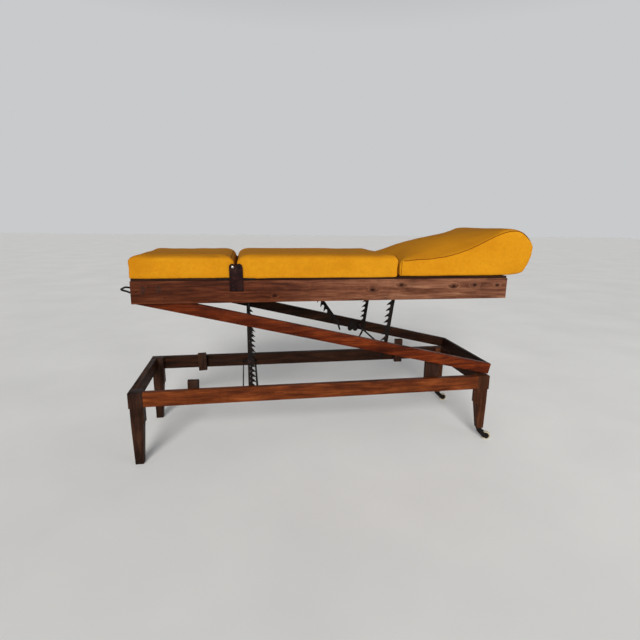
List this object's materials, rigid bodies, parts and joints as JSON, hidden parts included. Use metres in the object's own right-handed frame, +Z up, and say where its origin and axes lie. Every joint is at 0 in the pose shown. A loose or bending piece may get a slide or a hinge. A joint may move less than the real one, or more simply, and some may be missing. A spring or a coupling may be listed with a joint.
{
  "type": "medical examination table",
  "caption": "Height-adjustable upholstered examination couch: wooden base on casters, hinged lift and top frames, toothed iron props, raising leg and back sections.",
  "frame": {"origin": "on the floor under the middle of the bounding box", "axes": "+Z up, +X along the table towards the raised head cushion, +Y towards the side with the right-hand caster"},
  "size_m": [1.9198, 0.569, 1.062],
  "materials": {
    "base_wood": "worn satin varnish, orange-brown",
    "leg_wood": "dark brown stain, worn satin",
    "lift_wood": "satin varnish, reddish brown",
    "top_wood": "purplish brown satin varnish, long grain and knots",
    "board_wood": "plain unvarnished board",
    "iron": "blackened wrought iron, slightly rusty",
    "upholstery": "mustard-yellow woven wool",
    "caster_tread": "worn black hard rubber"
  },
  "bodies": {
    "base": {"leg_foot_left": "leg_wood", "leg_foot_right": "leg_wood", "leg_head_left": "leg_wood", "leg_head_right": "leg_wood", "base_end_rail_foot": "base_wood", "base_end_rail_head": "base_wood", "base_side_rail_left": "base_wood", "base_side_rail_right": "base_wood", "lower_catch_bar": "iron", "guide_block_left": "leg_wood", "guide_block_right": "leg_wood", "guide_post_left": "leg_wood", "guide_post_right": "leg_wood", "head_hinge_base_leaf": "iron", "caster_plate_left": "iron", "caster_plate_right": "iron"},
    "lift_frame": {"lift_side_rail_left": "lift_wood", "lift_side_rail_right": "lift_wood", "lift_end_rail_head": "lift_wood", "lift_end_rail_foot": "lift_wood", "upper_catch_rod": "iron", "catch_rod_keeper": "iron", "lift_handle": "iron", "head_hinge_lift_leaf": "iron", "foot_hinge_lift_leaf": "iron"},
    "lower_prop": {"lower_rack_left": "iron", "lower_rack_right": "iron", "lower_prop_shaft": "iron", "lower_tie_rod": "iron"},
    "top_frame": {"top_side_rail_left": "top_wood", "top_side_rail_right": "top_wood", "top_end_rail_foot": "top_wood", "top_end_rail_head": "top_wood", "top_slat_seat": "top_wood", "top_slat_head": "top_wood", "section_hinge_plate_left": "iron", "section_hinge_plate_right": "iron", "leg_stay_catch_bar": "iron", "back_catch_yoke": "iron", "foot_hinge_top_leaf": "iron"},
    "upper_prop": {"upper_rack_left": "iron", "upper_rack_right": "iron", "upper_prop_shaft": "iron"},
    "leg_section": {"leg_board": "board_wood", "leg_cushion": "upholstery", "leg_hinge_arm_left": "iron", "leg_hinge_arm_right": "iron", "leg_stay_bracket": "iron"},
    "leg_stay_arm": {"leg_stay": "iron"},
    "back_section": {"back_board": "board_wood", "seat_cushion": "upholstery", "head_cushion": "upholstery", "back_hinge_arm_left": "iron", "back_hinge_arm_right": "iron", "back_prop_bracket": "iron"},
    "back_prop_arm": {"back_prop": "iron"},
    "caster_left": {"caster_fork_left": "iron"},
    "caster_right": {"caster_fork_right": "iron"},
    "wheel_left": {"caster_wheel_left": "caster_tread"},
    "wheel_right": {"caster_wheel_right": "caster_tread"}
  },
  "joints": [
    {"name": "lift_hinge", "type": "hinge", "parent": "base", "child": "lift_frame", "pos_m": [0.79686, 0, 0.3485], "axis": [0, 1, 0], "range_deg": [-13.1, 0]},
    {"name": "lower_prop_pivot", "type": "hinge", "parent": "lift_frame", "child": "lower_prop", "pos_m": [-0.38017, 0, 0.65327], "axis": [0, 1, 0], "range_deg": [0, 13.1]},
    {"name": "top_hinge", "type": "hinge", "parent": "lift_frame", "child": "top_frame", "pos_m": [-0.85556, 0, 0.79206], "axis": [0, 1, 0], "range_deg": [0, 13.1]},
    {"name": "upper_prop_pivot", "type": "hinge", "parent": "top_frame", "child": "upper_prop", "pos_m": [0.30686, 0, 0.7985], "axis": [0, 1, 0], "range_deg": [-13.1, 0]},
    {"name": "leg_hinge", "type": "hinge", "parent": "top_frame", "child": "leg_section", "pos_m": [-0.44414, 0, 0.891], "axis": [0, 1, 0], "range_deg": [0, 25]},
    {"name": "leg_stay_pivot", "type": "hinge", "parent": "leg_section", "child": "leg_stay_arm", "pos_m": [-0.78814, 0, 0.822], "axis": [0, 1, 0], "range_deg": [0, 12.5]},
    {"name": "back_hinge", "type": "hinge", "parent": "top_frame", "child": "back_section", "pos_m": [-0.41914, 0, 0.891], "axis": [0, 1, 0], "range_deg": [-35, 0]},
    {"name": "back_prop_pivot", "type": "hinge", "parent": "back_section", "child": "back_prop_arm", "pos_m": [-0.09714, 0, 0.815], "axis": [0, 1, 0], "range_deg": [0, 54.3]},
    {"name": "caster_swivel_left", "type": "hinge", "parent": "base", "child": "caster_left", "pos_m": [0.77386, -0.2495, 0], "axis": [0, 0, 1], "continuous": true},
    {"name": "wheel_axle_left", "type": "hinge", "parent": "caster_left", "child": "wheel_left", "pos_m": [0.80772, -0.26675, 0.0215], "axis": [0.454, 0.891, 0], "continuous": true},
    {"name": "caster_swivel_right", "type": "hinge", "parent": "base", "child": "caster_right", "pos_m": [0.77386, 0.2495, 0], "axis": [0, 0, 1], "continuous": true},
    {"name": "wheel_axle_right", "type": "hinge", "parent": "caster_right", "child": "wheel_right", "pos_m": [0.81186, 0.2495, 0.0215], "axis": [0, 1, 0], "continuous": true}
  ],
  "couplings": [
    {"joint": "lower_prop_pivot", "follows": "lift_hinge", "ratio": -1},
    {"joint": "upper_prop_pivot", "follows": "top_hinge", "ratio": -1},
    {"joint": "leg_stay_pivot", "follows": "leg_hinge", "ratio": 0.5},
    {"joint": "back_prop_pivot", "follows": "back_hinge", "ratio": -1.55}
  ]
}
